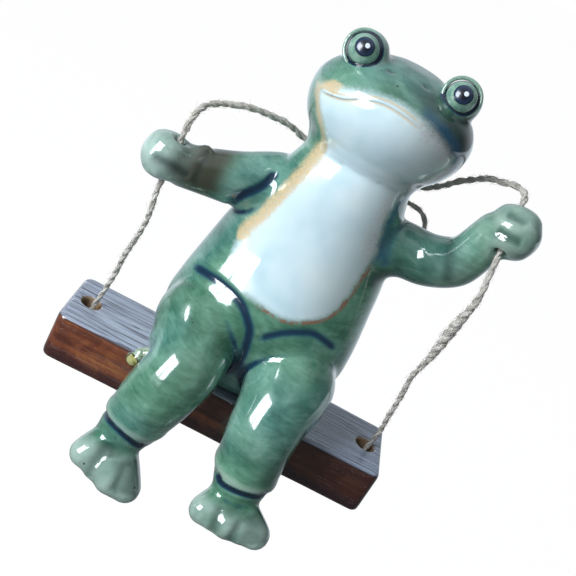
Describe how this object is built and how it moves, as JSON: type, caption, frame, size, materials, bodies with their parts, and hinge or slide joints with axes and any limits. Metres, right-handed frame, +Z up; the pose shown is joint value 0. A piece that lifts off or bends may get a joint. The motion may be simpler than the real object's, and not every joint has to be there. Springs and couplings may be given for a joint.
{
  "type": "frog hanging ornament",
  "caption": "Glazed ceramic frog sitting on a thick wood-look ceramic plank swing, its fists closed round the twine that carries the plank, with a twine loop behind the neck to hang it by.",
  "frame": {"origin": "the eye of the hanging loop, where a hook bears while the loop hangs down behind the frog's back", "axes": "+X towards the viewer's right along the plank, -Y the way the frog faces, +Z up, square to the plank's top"},
  "size_m": [0.1301, 0.0778, 0.1765],
  "materials": {
    "green_glaze": "opaque glossy celadon glaze on fired stoneware",
    "pale_glaze": "opaque glossy pale green glaze on fired stoneware",
    "eye_glaze": "opaque glossy dark glaze on fired stoneware",
    "brown_glaze": "opaque glossy brown iron glaze over incised wood grain",
    "pool_glaze": "glossy olive glaze, pooled thick",
    "jute": "twisted natural fibre, slightly fuzzy"
  },
  "bodies": {
    "ornament": {"torso": "green_glaze", "head": "green_glaze", "left_eyelid": "pale_glaze", "right_eyelid": "pale_glaze", "left_eyeball": "eye_glaze", "right_eyeball": "eye_glaze", "left_arm": "green_glaze", "right_arm": "green_glaze", "left_fist": "green_glaze", "right_fist": "green_glaze", "left_leg": "green_glaze", "right_leg": "green_glaze", "left_foot": "pale_glaze", "right_foot": "pale_glaze", "plank": "brown_glaze", "seat_slip": "pale_glaze", "glaze_pool": "pool_glaze", "left_lower_rope": "jute", "right_lower_rope": "jute", "left_upper_rope": "jute", "right_upper_rope": "jute", "left_stop_knot": "jute", "right_stop_knot": "jute", "nape_knot": "jute"},
    "loop": {"hanging_loop": "jute"}
  },
  "joints": [
    {"name": "loop_swing", "type": "hinge", "parent": "ornament", "child": "loop", "pos_m": [0, 0, 0.0573], "axis": [1, 0, 0], "range_deg": [0, 170]}
  ]
}
